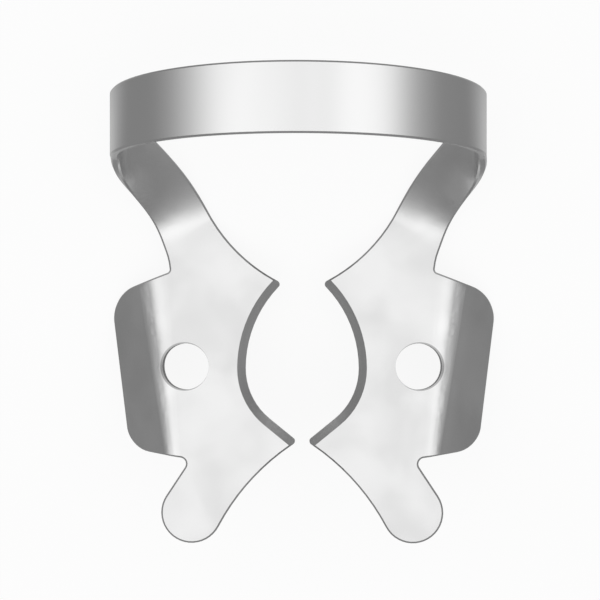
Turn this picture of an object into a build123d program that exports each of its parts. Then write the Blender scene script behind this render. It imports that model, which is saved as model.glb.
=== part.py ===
from build123d import *
import math
import os

# Rubber dam clamp: one strip of spring steel, blanked, bent and ground.
# Sizes are in millimetres and degrees. The right half is drawn and mirrored.
# Drawing frame: origin midway between the forceps holes on the upper face of the jaws,
# X across the clamp, Y towards the bow, Z up from the jaws.

# Sheet
sheet = 0.45
edge_break = 0.09
rim_angle = 45.0
join_tolerance = 0.001

# Mouth between the jaws
throat_width = 6.10
throat_offset = -0.10
toe_arc_radius = 3.50
mesial_point_gap = 0.48
mesial_point_reach = 4.05
distal_point_gap = 2.14
distal_point_reach = 4.50
point_round = 0.22
grind_run = 0.46
edge_land = 0.07

# Forceps holes
hole_diameter = 2.50
hole_spacing = 12.64
hole_tilt = 10.0

# Front tongues
tongue_end_radius = 1.65
tongue_spacing = 11.96
tongue_reach = 9.55
tongue_flank_angle = 62.0
tongue_side_angle = 56.5

# Wings
wing_bend_angle = 50.0
wing_mesial_radius = 1.10
wing_distal_radius = 2.20
wing_distal_half = 10.66
wing_distal_reach = 3.82
wing_mesial_half = 9.64
wing_mesial_reach = 4.56
wing_mesial_slope = 7.0
wing_distal_round = 1.85
wing_mesial_round = 1.50
mesial_notch_round = 0.34
distal_notch = (7.16, 5.12)
distal_notch_round = 0.20
round_share = 0.50

# Legs, measured on the upper face: each edge is a curve from the neck to the turn of the bow,
# led by the pull along the neck, a pole at the bend, a pole on the rise and the drop below the turn;
# the pole on the rise is set off from the turn
neck_mesial = (7.40, 6.26)
neck_distal = (4.85, 7.95)
neck_mesial_angle = 69.0
neck_distal_angle = 59.0
pull_mesial = 1.18
pull_distal = 0.80
bend_mesial = (8.13, 9.11, 0.50)
bend_distal = (6.57, 11.48, 2.00)
rise_mesial = (0.64, -1.86, -2.93)
rise_distal = (-2.14, -3.27, -2.53)
drop_mesial = 1.30
drop_distal = 1.30

# Bow, measured on its inner face
bow_half_width = 9.34
bow_rise = 7.25
turn_height = 6.50
turn_mesial = 10.97
turn_distal = 14.30
lean_mesial = 7.2
lean_distal = 9.4

# Rest pose: how far the bow end goes down when the clamp lies on a table
rest_tilt = 26.93


def heading(angle):
    return Vector(math.cos(math.radians(angle)), math.sin(math.radians(angle)))


def tangent_touch(center, radius, point, turn):
    # Where the tangent from a point touches a circle; turn is 1 or -1 for the side.
    gap = point - center
    swing = math.degrees(math.acos(radius / gap.length))
    return center + gap.normalized().rotate(Axis.Z, turn * swing) * radius


def crossing(start, way, other, other_way):
    # Where two straight lines in the jaw plane cross.
    span = other - start
    side = way.X * other_way.Y - way.Y * other_way.X
    reach = (span.X * other_way.Y - span.Y * other_way.X) / side
    return start + way * reach


def round_corner(outline, corner, radius):
    nearest = outline.vertices().sort_by_distance(corner)[0]
    return outline.fillet_2d(radius, [nearest])


# Corner points of the jaw outline
throat = Vector(throat_width / 2, throat_offset)
mesial_point = Vector(mesial_point_gap / 2, -mesial_point_reach)
distal_point = Vector(distal_point_gap / 2, distal_point_reach)
wing_distal = Vector(wing_distal_half, wing_distal_reach)
wing_mesial = Vector(wing_mesial_half, -wing_mesial_reach)
notch = Vector(*distal_notch)
tongue_center = Vector(tongue_spacing / 2, tongue_end_radius - tongue_reach)
tongue_outward = heading(90 - tongue_side_angle)
tongue_side = tongue_center + tongue_outward * tongue_end_radius
tongue_way = heading(180 - tongue_side_angle)
mesial_notch = crossing(tongue_side, tongue_way, wing_mesial, heading(wing_mesial_slope))


def throat_edges():
    # Mouth side of a jaw, from its mesial point to its distal point.
    toe_center = throat - Vector(toe_arc_radius, 0)
    touch = tangent_touch(toe_center, toe_arc_radius, mesial_point, 1)
    flank = Line(mesial_point, touch)
    toe = TangentArc(throat, touch, tangent=(0, -1))
    heel = TangentArc(throat, distal_point, tangent=(0, 1))
    return [flank, toe, heel]


def tongue_edges():
    # Front tongue, from the mesial point round its end to the notch below the wing.
    flank_way = heading(180 - tongue_flank_angle)
    inward = heading(270 - tongue_flank_angle)
    flank_touch = tongue_center + inward * tongue_end_radius
    tip = tongue_center - Vector(0, tongue_end_radius)
    flank = TangentArc(flank_touch, mesial_point, tangent=flank_way)
    end = ThreePointArc(flank_touch, tip, tongue_side)
    side = Line(tongue_side, mesial_notch)
    return [flank, end, side]


def wing_edges():
    # Wing, from the mesial notch round its two corners to the distal notch.
    lower = Line(mesial_notch, wing_mesial)
    outer = Line(wing_mesial, wing_distal)
    upper = Line(wing_distal, notch)
    return [lower, outer, upper]


def neck_edges():
    # From the distal notch across the neck to the distal point.
    mesial_neck = Vector(*neck_mesial)
    distal_neck = Vector(*neck_distal)
    outer = TangentArc(mesial_neck, notch, tangent=heading(neck_mesial_angle) * -1)
    across = Line(mesial_neck, distal_neck)
    inner = TangentArc(distal_neck, distal_point, tangent=heading(neck_distal_angle) * -1)
    return [outer, across, inner]


def wing_round(radius, edge):
    # A wing corner is rounded no wider than its share of the edge beside it.
    return min(radius, round_share * edge.length)


def jaw_outline():
    outline = Face(Wire(throat_edges() + tongue_edges() + wing_edges() + neck_edges()))
    outline = round_corner(outline, mesial_point, point_round)
    outline = round_corner(outline, distal_point, point_round)
    outline = round_corner(outline, wing_distal, wing_round(wing_distal_round, notch - wing_distal))
    outline = round_corner(outline, wing_mesial, wing_round(wing_mesial_round, mesial_notch - wing_mesial))
    outline = round_corner(outline, mesial_notch, mesial_notch_round)
    outline = round_corner(outline, notch, distal_notch_round)
    return outline


def hinge_ends(outline):
    # The wing bend runs between the two notches, where the wing's own edges begin.
    lower_line = outline.edges().filter_by(GeomType.LINE).sort_by_distance(wing_edges()[0] @ 0.5)[0]
    upper_line = outline.edges().filter_by(GeomType.LINE).sort_by_distance(wing_edges()[2] @ 0.5)[0]
    lower = lower_line.vertices().sort_by_distance(mesial_notch)[0]
    upper = upper_line.vertices().sort_by_distance(notch)[0]
    return lower.center(), upper.center()


def wing_profile(start, hinge, radius):
    # Bend and flap at one end of the wing, square to the hinge.
    across = hinge.rotate(Axis.Z, -90)
    station = Plane(origin=start, x_dir=across, z_dir=hinge * -1)
    bend = JernArc((0, 0), (1, 0), radius, -wing_bend_angle)
    flap = Line(bend @ 1, (bend @ 1) + (bend % 1) * wing_distal_half)
    return station * bend, station * flap


def plate_face():
    # Flat part of a jaw: the outline up to the hinge of the wing.
    outline = jaw_outline()
    lower, upper = hinge_ends(outline)
    across = (upper - lower).normalized().rotate(Axis.Z, -90) * wing_distal_half
    zone = Face(Wire.make_polygon([lower, lower + across, upper + across, upper]))
    return (outline - zone).face()


def wing_faces():
    # Conical bend and flat flap of a wing, cut to the outline seen from above.
    outline = jaw_outline()
    lower, upper = hinge_ends(outline)
    hinge = (upper - lower).normalized()
    lower_bend, lower_flap = wing_profile(lower, hinge, wing_mesial_radius)
    upper_bend, upper_flap = wing_profile(upper, hinge, wing_distal_radius)
    bend = Face.make_surface_from_curves(lower_bend.edge(), upper_bend.edge())
    flap = Face(Wire.make_polygon([lower_flap @ 0, lower_flap @ 1, upper_flap @ 1, upper_flap @ 0]))
    prism = extrude(outline, amount=wing_distal_half, both=True)
    return (bend & prism).face(), (flap & prism).face()


def leg_rail(neck, neck_angle, pull, bend, rise, drop, turn, lean):
    # One edge of a leg, from the neck up to the turn of the bow.
    start = Vector(*neck)
    end = Vector(bow_half_width, turn, turn_height)
    up = Vector(0, math.sin(math.radians(lean)), math.cos(math.radians(lean)))
    lead = start + heading(neck_angle) * pull
    return Bezier(start, lead, bend, end + Vector(*rise), end - up * drop, end)


def leg_face():
    outer = leg_rail(neck_mesial, neck_mesial_angle, pull_mesial, bend_mesial, rise_mesial,
                     drop_mesial, turn_mesial, lean_mesial)
    inner = leg_rail(neck_distal, neck_distal_angle, pull_distal, bend_distal, rise_distal,
                     drop_distal, turn_distal, lean_distal)
    return Face.make_surface_from_curves(outer.edge(), inner.edge())


def bow_rail(turn, lean):
    # One edge of the half bow: a quarter of an ellipse in a leaning plane.
    slope = math.radians(lean)
    plane = Plane((0, turn, turn_height), x_dir=(1, 0, 0), z_dir=(0, -math.cos(slope), math.sin(slope)))
    arch = EllipticalCenterArc((0, 0), bow_half_width, bow_rise / math.cos(slope), 0, arc_size=90)
    return (plane * arch).edge()


def bow_face():
    return Face.make_surface_from_curves(bow_rail(turn_mesial, lean_mesial), bow_rail(turn_distal, lean_distal))


def joint_plane(first, second, normal):
    # Plane square to the sheet through two points, where two pieces of the sheet meet.
    along = second - first
    return Plane(origin=first, x_dir=along, z_dir=along.cross(normal))


def fold_ends(bend, flap):
    # End points of the line where the flat flap leaves the bend of the wing.
    line = flap.edges().filter_by(GeomType.LINE).sort_by_distance(bend.center())[0]
    return line @ 0, line @ 1


def break_edges(piece, joints):
    # Breaks the rims of a piece of sheet, leaving its ends square where it joins the next piece.
    rims = []
    smooth = math.cos(math.radians(rim_angle))
    for edge in piece.edges():
        middle = edge @ 0.5
        first, second = [face.normal_at(middle) for face in piece.faces() if edge in face.edges()]
        at_joint = any(abs(joint.to_local_coords(middle).Z) < edge_break for joint in joints)
        if abs(first.dot(second)) < smooth and not at_joint:
            rims.append(edge)
    return piece.chamfer(edge_break, None, rims)


def mouth_cutter():
    # Grinds the tooth edge of a jaw to a slope that leaves a narrow land at the bottom.
    flank, toe, heel = throat_edges()
    middle = mesial_point_gap / 4
    upper_way = heel % 1
    upper_end = distal_point + upper_way * ((middle - distal_point.X) / upper_way.X)
    lower_way = flank % 0
    lower_end = mesial_point + lower_way * ((middle - mesial_point.X) / lower_way.X)
    outline = [Line(lower_end, flank @ 1), toe, heel, Line(distal_point, upper_end), Line(upper_end, lower_end)]
    depth = sheet - edge_land
    slope = math.degrees(math.atan2(grind_run, depth))
    mouth = Face(Wire(outline)).moved(Location((0, 0, -depth)))
    return extrude(mouth, amount=2 * depth, dir=(0, 0, 1), taper=-slope)


def forceps_hole():
    # Long enough to pass through the plate and the start of the wing bend.
    axis = Plane(origin=(hole_spacing / 2, 0, 0)).rotated((0, hole_tilt, 0))
    return axis * Cylinder(hole_diameter / 2, hole_diameter)


def half_clamp():
    # Each piece of the sheet is thickened away from its upper face, broken at the edges and joined.
    up = Vector(0, 0, 1)
    bend_face, flap_face = wing_faces()
    hinge = joint_plane(*hinge_ends(jaw_outline()), up)
    fold = joint_plane(*fold_ends(bend_face, flap_face), flap_face.normal_at())
    neck = joint_plane(Vector(*neck_mesial), Vector(*neck_distal), up)
    turn = Plane.XY.offset(turn_height)
    plate = break_edges(Solid.thicken(plate_face(), sheet, -up), [hinge, neck])
    bend = break_edges(Solid.thicken(bend_face, sheet, -up), [hinge, fold])
    flap = break_edges(Solid.thicken(flap_face, sheet, -up), [fold])
    leg = break_edges(Solid.thicken(leg_face(), sheet, (1, 0, -1)), [neck, turn])
    bow = break_edges(Solid.thicken(bow_face(), sheet, (1, 0, 1)), [turn, Plane.YZ])
    body = plate.fuse(bend, flap, leg, bow, tol=join_tolerance)
    return body - mouth_cutter() - forceps_hole()


# Finished clamp, turned to lie as it rests and moved onto the table
half = half_clamp()
clamp = half + mirror(half, about=Plane.YZ)
clamp = clamp.rotate(Axis.X, -rest_tilt)
box = clamp.bounding_box()
clamp = clamp.moved(Location((-box.center().X, -box.center().Y, -box.min.Z)))
clamp.label = "clamp"

os.makedirs("parts", exist_ok=True)
export_step(clamp, "parts/clamp.step")
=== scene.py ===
import math

import bpy
from mathutils import Matrix, Vector

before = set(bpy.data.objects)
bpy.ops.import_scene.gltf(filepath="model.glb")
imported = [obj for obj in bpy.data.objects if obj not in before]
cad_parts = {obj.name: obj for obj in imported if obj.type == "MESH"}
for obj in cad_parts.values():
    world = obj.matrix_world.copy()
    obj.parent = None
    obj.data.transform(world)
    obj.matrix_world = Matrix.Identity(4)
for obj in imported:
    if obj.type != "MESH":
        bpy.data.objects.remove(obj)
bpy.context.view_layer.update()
print("frame loaded", sorted(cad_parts))

mm = 0.001  # sizes below are millimetres, the scene is in metres

# How the clamp lies: the jaws slope down to the bow, turned about the middle between the forceps holes
lyingPose = {"tilt": 26.93, "jawCentre": (0.0, -5.7642, 4.0918)}


def turned(vector):  # from the jaws' own directions to the clamp as it lies
    return Matrix.Rotation(math.radians(-lyingPose["tilt"]), 3, "X") @ Vector(vector)


def addNode(tree, kind, place, **values):
    node = tree.nodes.new(kind)
    node.location = place
    for name, value in values.items():
        setattr(node, name, value)
    return node


def link(tree, source, target):
    tree.links.new(source, target)


def setInputs(node, values):
    for name, value in values.items():
        node.inputs[name].default_value = value


def feed(tree, sockets, terms):  # each term is a fixed value or another node's output
    for socket, term in zip(sockets, terms):
        if isinstance(term, bpy.types.NodeSocket):
            link(tree, term, socket)
        else:
            socket.default_value = term


def mathNode(tree, place, operation, *terms):
    node = addNode(tree, "ShaderNodeMath", place, operation=operation)
    feed(tree, node.inputs, terms)
    return node.outputs["Value"]


def vectorNode(tree, place, operation, *terms):
    node = addNode(tree, "ShaderNodeVectorMath", place, operation=operation)
    feed(tree, node.inputs, terms)
    return node.outputs["Value"]


def rangeNode(tree, place, value, source, target=(0.0, 1.0), interpolation="SMOOTHSTEP"):
    node = addNode(tree, "ShaderNodeMapRange", place, interpolation_type=interpolation)
    setInputs(node, {"From Min": source[0], "From Max": source[1], "To Min": target[0], "To Max": target[1]})
    link(tree, value, node.inputs["Value"])
    return node.outputs["Result"]


def mixValues(tree, place, share, first, second):
    node = addNode(tree, "ShaderNodeMix", place)
    feed(tree, (node.inputs["Factor"], node.inputs["A"], node.inputs["B"]), (share, first, second))
    return node.outputs["Result"]


def mixColours(tree, place, share, first, second):
    node = addNode(tree, "ShaderNodeMix", place, data_type="RGBA")
    feed(tree, (node.inputs["Factor"], node.inputs[6], node.inputs[7]), (share, first, second))
    return node.outputs[2]


def mirroredDistance(tree, place, across, along, spot):
    # from the spot or its mirror image, whichever is nearer; across is measured from the middle to either side
    folded = addNode(tree, "ShaderNodeCombineXYZ", place)
    feed(tree, folded.inputs, (across, along))
    return vectorNode(tree, (place[0] + 200, place[1]), "DISTANCE", folded.outputs["Vector"], spot)


# Satin steel: soft clouds on the jaws and bands across the bow, fine grain and polishing lines, a darker
# ground tooth edge, and painted shade on the forceps holes' walls and in a thin rim round them
steelLook = {
    "colour": (0.77, 0.77, 0.77, 1.0),
    "dullColour": (0.665, 0.665, 0.665, 1.0),
    "groundColour": (0.62, 0.62, 0.62, 1.0),
    "groundDark": (0.50, 0.50, 0.50, 1.0),
    # painted shade for the forceps holes' walls and the thin rim round them
    "holeShadeColour": (0.40, 0.40, 0.40, 1.0),
    "roughness": (0.225, 0.268),  # on clean and on dull steel
    "mottle": (0.30, 0.70),  # where in the clouds the steel turns dull
    "cloudsPerMm": 0.28,
    "bandsPerMm": 0.16,
    "bandStretch": 0.15,
    "cloudNoise": {"Detail": 2.0, "Roughness": 0.45, "Distortion": 0.3},
    "grainPerMm": 9.0,
    "grainNoise": {"Detail": 3.0},
    "linesPerMm": 7.0,
    "lineStretch": 0.05,
    "lineNoise": {"Detail": 3.0, "Roughness": 0.6},
    "bowHeights": (3.5, 7.0),  # above the jaws, where the lines turn to follow the bow
    "grainDepth": 0.0005,
    "waveDepth": 0.006,
    "bendSide": 8.25,  # outer line of the wing's bend beside the holes, and its slope towards the bow
    "bendSlope": 0.147,
    "bendReach": (-0.55, 0.75),
    "bendRise": 0.20,
    "wingMiddle": -0.35,  # middle of the wing along the jaw, and the half length where its bend fades out
    "wingHalf": (4.55, 5.15),
    "mouthHalf": (4.8, 5.6),  # half width and half length round the mouth that holds the ground edge
    "groundSlope": (0.55, 0.90),  # facing of the ground edge, as cosines from the jaws' face
    "holeShadeCentre": (6.37, 0.0, 0.0),  # middle of the painted hole shade, a little outside the hole's own
    "rimRadius": (1.30, 1.33),  # where the painted hole shade starts and ends to fade
}


def jawPlace(tree):
    # millimetres along the jaws from their centre, and the cosine between the surface and the jaws' face
    place = addNode(tree, "ShaderNodeTexCoord", (-1500, 300))
    jaws = addNode(tree, "ShaderNodeMapping", (-1300, 300))
    tilt = math.radians(lyingPose["tilt"])
    centre = Matrix.Rotation(tilt, 3, "X") @ Vector(lyingPose["jawCentre"])
    setInputs(jaws, {"Scale": (1 / mm,) * 3, "Rotation": (tilt, 0, 0), "Location": -centre})
    link(tree, place.outputs["Object"], jaws.inputs["Vector"])
    facing = vectorNode(tree, (-1300, -1000), "DOT_PRODUCT", place.outputs["Normal"], turned((0, 0, 1)))
    return jaws.outputs["Vector"], facing


def noiseNode(tree, height, spot, scale, stretch, settings):
    along = addNode(tree, "ShaderNodeMapping", (-900, height))
    along.inputs["Scale"].default_value = stretch
    link(tree, spot, along.inputs["Vector"])
    node = addNode(tree, "ShaderNodeTexNoise", (-700, height))
    setInputs(node, settings)
    link(tree, along.outputs["Vector"], node.inputs["Vector"])
    link(tree, scale, node.inputs["Scale"])
    return node.outputs["Fac"]


def reliefHeight(tree, across, along, clouds, fine):
    # in millimetres: a slight swell that softens the wing's bend, slow waves, grain and lines
    bendLine = mathNode(tree, (-900, -2100), "MULTIPLY_ADD", along, steelLook["bendSlope"],
                        steelLook["bendSide"])
    beyond = mathNode(tree, (-500, -2100), "SUBTRACT", across, bendLine)
    swell = rangeNode(tree, (-300, -2100), beyond, steelLook["bendReach"], (0.0, steelLook["bendRise"]))
    fromMiddle = mathNode(tree, (-700, -2400), "SUBTRACT", along, steelLook["wingMiddle"])
    fromMiddle = mathNode(tree, (-500, -2400), "ABSOLUTE", fromMiddle)
    onWing = rangeNode(tree, (-300, -2400), fromMiddle, steelLook["wingHalf"], (1.0, 0.0))
    relief = mathNode(tree, (-100, -2100), "MULTIPLY", swell, onWing)
    relief = mathNode(tree, (100, -2100), "MULTIPLY_ADD", clouds, steelLook["waveDepth"], relief)
    return mathNode(tree, (300, -2100), "MULTIPLY_ADD", fine, steelLook["grainDepth"], relief)


def groundMask(tree, across, along, facing):
    awayFromMiddle = mathNode(tree, (-900, -1200), "ABSOLUTE", along)
    mask = mathNode(tree, (-500, -1000), "GREATER_THAN", facing, steelLook["groundSlope"][0])
    limits = ((facing, steelLook["groundSlope"][1]), (across, steelLook["mouthHalf"][0]),
              (awayFromMiddle, steelLook["mouthHalf"][1]))
    for value, limit in limits:
        below = mathNode(tree, (-300, -1200), "LESS_THAN", value, limit)
        mask = mathNode(tree, (-100, -1000), "MULTIPLY", mask, below)
    return mask


def satinGroup():
    group = bpy.data.node_groups.new("satinFinish", "ShaderNodeTree")
    for name in ("clouds per mm", "bands per mm", "grain per mm", "lines per mm"):
        group.interface.new_socket(name, in_out="INPUT", socket_type="NodeSocketFloat")
    for name in ("clouds", "relief", "ground", "ground lines", "paintedHoleShade"):
        group.interface.new_socket(name, in_out="OUTPUT", socket_type="NodeSocketFloat")
    scales = addNode(group, "NodeGroupInput", (-1500, 0)).outputs
    spot, facing = jawPlace(group)
    split = addNode(group, "ShaderNodeSeparateXYZ", (-1100, -700))
    link(group, spot, split.inputs[0])
    across = mathNode(group, (-900, -1000), "ABSOLUTE", split.outputs["X"])
    along = split.outputs["Y"]

    even = (1, 1, 1)
    wide = steelLook["bandStretch"]
    thin = steelLook["lineStretch"]
    cloudNoise = steelLook["cloudNoise"]
    lineNoise = steelLook["lineNoise"]
    jawClouds = noiseNode(group, 800, spot, scales["clouds per mm"], even, cloudNoise)
    bowBands = noiseNode(group, 500, spot, scales["bands per mm"], (1, wide, wide), cloudNoise)
    grain = noiseNode(group, 200, spot, scales["grain per mm"], even, steelLook["grainNoise"])
    jawLines = noiseNode(group, -100, spot, scales["lines per mm"], (1, thin, thin), lineNoise)
    bowLines = noiseNode(group, -400, spot, scales["lines per mm"], (thin, 1, thin), lineNoise)
    groundLines = noiseNode(group, -1500, spot, scales["lines per mm"], (thin, thin, 1), lineNoise)
    onBow = rangeNode(group, (-700, -700), split.outputs["Z"], steelLook["bowHeights"])
    clouds = mixValues(group, (-300, 500), onBow, jawClouds, bowBands)
    lines = mixValues(group, (-300, -300), onBow, jawLines, bowLines)
    fine = mathNode(group, (0, -100), "ADD", grain, lines)

    # painted shade on the forceps holes' walls and in a thin rim round them, a little wider on their outer
    # side
    fromHoleShadeCentre = mirroredDistance(group, (-500, -1800), across, along, steelLook["holeShadeCentre"])
    paintedHoleShade = rangeNode(group, (-100, -1800), fromHoleShadeCentre, steelLook["rimRadius"], (1.0, 0.0), "LINEAR")
    results = {
        "clouds": clouds,
        "relief": reliefHeight(group, across, along, clouds, fine),
        "ground": groundMask(group, across, along, facing),
        "ground lines": groundLines,
        "paintedHoleShade": paintedHoleShade,
    }
    end = addNode(group, "NodeGroupOutput", (700, 0))
    for name, value in results.items():
        link(group, value, end.inputs[name])
    return group


def satinSteel():
    material = bpy.data.materials.new("satinSteel")
    material.use_nodes = True
    tree = material.node_tree
    shader = tree.nodes["Principled BSDF"]
    shader.inputs["Metallic"].default_value = 1.0
    finish = addNode(tree, "ShaderNodeGroup", (-1100, 0), node_tree=satinGroup())
    setInputs(finish, {"clouds per mm": steelLook["cloudsPerMm"], "bands per mm": steelLook["bandsPerMm"],
                       "grain per mm": steelLook["grainPerMm"], "lines per mm": steelLook["linesPerMm"]})
    mottle = rangeNode(tree, (-850, 200), finish.outputs["clouds"], steelLook["mottle"])
    satin = mixColours(tree, (-600, 300), mottle, steelLook["colour"], steelLook["dullColour"])
    ground = mixColours(tree, (-600, 550), finish.outputs["ground lines"], steelLook["groundDark"],
                        steelLook["groundColour"])
    edged = mixColours(tree, (-400, 400), finish.outputs["ground"], satin, ground)
    # paint the shade of the forceps holes' walls and rims over the steel colour
    holeShaded = mixColours(tree, (-200, 400), finish.outputs["paintedHoleShade"], edged, steelLook["holeShadeColour"])
    link(tree, holeShaded, shader.inputs["Base Color"])
    rough = rangeNode(tree, (-400, 0), mottle, (0.0, 1.0), steelLook["roughness"], "LINEAR")
    link(tree, rough, shader.inputs["Roughness"])
    bump = addNode(tree, "ShaderNodeBump", (-200, -300))
    setInputs(bump, {"Strength": 1.0, "Distance": mm})
    link(tree, finish.outputs["relief"], bump.inputs["Height"])
    link(tree, bump.outputs["Normal"], shader.inputs["Normal"])
    return material


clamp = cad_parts["clamp"]
clamp.data.materials.clear()
clamp.data.materials.append(satinSteel())
print("steel finish on the clamp")

# White table, seen at nearly full white by the camera and in the steel, with part of the clamp's shadow kept
tableLook = {"half": 600.0, "colour": (0.90, 0.90, 0.90, 1.0), "roughness": 0.9, "whiteShare": 0.90}


def tableWhite():
    material = bpy.data.materials.new("whiteTable")
    material.use_nodes = True
    tree = material.node_tree
    shader = tree.nodes["Principled BSDF"]
    setInputs(shader, {"Base Color": tableLook["colour"], "Roughness": tableLook["roughness"],
                       "Specular IOR Level": 0.0})
    white = addNode(tree, "ShaderNodeEmission", (0, -300))
    path = addNode(tree, "ShaderNodeLightPath", (-700, 300)).outputs
    seen = mathNode(tree, (-450, 300), "MAXIMUM", path["Is Camera Ray"], path["Is Glossy Ray"])
    seen = mathNode(tree, (-250, 300), "MAXIMUM", seen, path["Is Transmission Ray"])
    share = mathNode(tree, (-50, 300), "MULTIPLY", seen, tableLook["whiteShare"])
    mix = addNode(tree, "ShaderNodeMixShader", (250, 0))
    feed(tree, mix.inputs, (share, shader.outputs["BSDF"], white.outputs["Emission"]))
    link(tree, mix.outputs["Shader"], tree.nodes["Material Output"].inputs["Surface"])
    return material


def whiteTable():
    bpy.ops.object.select_all(action="DESELECT")
    bpy.ops.mesh.primitive_plane_add(size=2 * tableLook["half"] * mm, location=(0, 0, 0))
    table = bpy.context.active_object
    table.name = "table"
    table.data.materials.append(tableWhite())


whiteTable()

# Grey card under and round the clamp, curled up at its rim and paler below the bow's two ends, seen only in
# the steel's reflections
cardLook = {
    "sides": 128,
    "flatRadius": 17.0,
    "rimRadius": 48.0,
    "rimHeight": 12.0,
    "lengthen": 1.25,
    "lift": 0.02,
    "grey": 0.28,
    "paleGrey": 0.62,
    "paleSpot": (11.5, 6.0, 0.0),
    "paleReach": 10.0,
}


def cardPaper():
    material = bpy.data.materials.new("cardPaper")
    material.use_nodes = True
    tree = material.node_tree
    shader = tree.nodes["Principled BSDF"]
    setInputs(shader, {"Base Color": (0, 0, 0, 1), "Specular IOR Level": 0.0, "Emission Strength": 1.0})
    place = addNode(tree, "ShaderNodeTexCoord", (-1100, 0))
    split = addNode(tree, "ShaderNodeSeparateXYZ", (-900, 0))
    link(tree, place.outputs["Object"], split.inputs[0])
    across = mathNode(tree, (-700, 100), "ABSOLUTE", split.outputs["X"])
    paleSpot = Vector(cardLook["paleSpot"]) * mm
    away = mirroredDistance(tree, (-550, 0), across, split.outputs["Y"], paleSpot)
    grey = rangeNode(tree, (-200, 0), away, (0.0, cardLook["paleReach"] * mm),
                     (cardLook["paleGrey"], cardLook["grey"]))
    link(tree, grey, shader.inputs["Emission Color"])
    return material


def greyCard():
    bpy.ops.object.select_all(action="DESELECT")
    bpy.ops.mesh.primitive_circle_add(vertices=cardLook["sides"], radius=cardLook["rimRadius"] * mm,
                                      fill_type="NGON", location=(0, 0, cardLook["lift"] * mm))
    card = bpy.context.active_object
    card.name = "greyCard"
    bpy.ops.object.mode_set(mode="EDIT")
    bpy.ops.mesh.select_all(action="SELECT")
    bpy.ops.mesh.inset(thickness=(cardLook["rimRadius"] - cardLook["flatRadius"]) * mm)
    bpy.ops.mesh.select_all(action="DESELECT")
    bpy.ops.object.mode_set(mode="OBJECT")
    middleRadius = (cardLook["flatRadius"] + cardLook["rimRadius"]) / 2
    for vertex in card.data.vertices:
        vertex.select = vertex.co.length > middleRadius * mm
    bpy.ops.object.mode_set(mode="EDIT")
    bpy.ops.transform.translate(value=(0, 0, cardLook["rimHeight"] * mm))
    bpy.ops.object.mode_set(mode="OBJECT")
    card.scale = (1, cardLook["lengthen"], 1)
    bpy.ops.object.transform_apply(location=True, rotation=True, scale=True)
    card.data.materials.append(cardPaper())
    card.visible_camera = False
    card.visible_diffuse = False
    card.visible_shadow = False
    card.visible_transmission = False
    print("card", [round(length / mm, 1) for length in card.dimensions])


greyCard()

# Sky: a broad soft light over the jaws that falls off to the sides, as (cosine from its middle, level)
skySteps = ((0.0, 0.26), (0.10, 0.27), (0.25, 0.35), (0.40, 0.46), (0.53, 0.67), (0.65, 1.00), (0.75, 1.20),
            (0.87, 1.27), (0.95, 1.21), (1.0, 1.11))


def softSky():
    world = bpy.data.worlds.new("softSky")
    bpy.context.scene.world = world
    world.use_nodes = True
    tree = world.node_tree
    direction = addNode(tree, "ShaderNodeTexCoord", (-900, 0))
    facing = vectorNode(tree, (-700, 0), "DOT_PRODUCT", direction.outputs["Generated"], turned((0, 0, 1)))
    ramp = addNode(tree, "ShaderNodeValToRGB", (-500, 0))
    steps = ramp.color_ramp.elements  # starts with one step at 0 and one at 1
    for place, level in skySteps[1:-1]:
        steps.new(place)
    for step, (place, level) in zip(steps, skySteps):
        step.color = (level, level, level, 1.0)
    link(tree, facing, ramp.inputs["Fac"])
    link(tree, ramp.outputs["Color"], tree.nodes["Background"].inputs["Color"])


softSky()
print("table, card and sky set")

# Camera: looks straight onto the jaws, a little from the right
cameraView = {
    "aim": (-0.108, 3.595, 0.0),  # from the jaw centre, along the jaws
    "sideways": 1.8,
    "distance": 170.0,
    "pixelsPerMm": 18.5,
    "imagePixels": 600.0,
    "sensor": 36.0,
    "clip": (1.0, 10000.0),
}


def placeCamera(view):
    swing = math.radians(view["sideways"])
    back = turned((math.sin(swing), 0, math.cos(swing)))
    right = turned((math.cos(swing), 0, -math.sin(swing)))
    up = turned((0, 1, 0))
    aim = Vector(lyingPose["jawCentre"]) + turned(view["aim"])
    data = bpy.data.cameras.new("productCamera")
    data.sensor_width = view["sensor"]
    data.lens = view["sensor"] * view["pixelsPerMm"] * view["distance"] / view["imagePixels"]
    data.clip_start, data.clip_end = (limit * mm for limit in view["clip"])
    camera = bpy.data.objects.new("productCamera", data)
    bpy.context.scene.collection.objects.link(camera)
    turn = Matrix((right, up, back)).transposed().to_4x4()
    camera.matrix_world = Matrix.Translation((aim + back * view["distance"]) * mm) @ turn
    bpy.context.scene.camera = camera


placeCamera(cameraView)
bpy.context.scene.view_settings.view_transform = "Standard"
print("camera set")
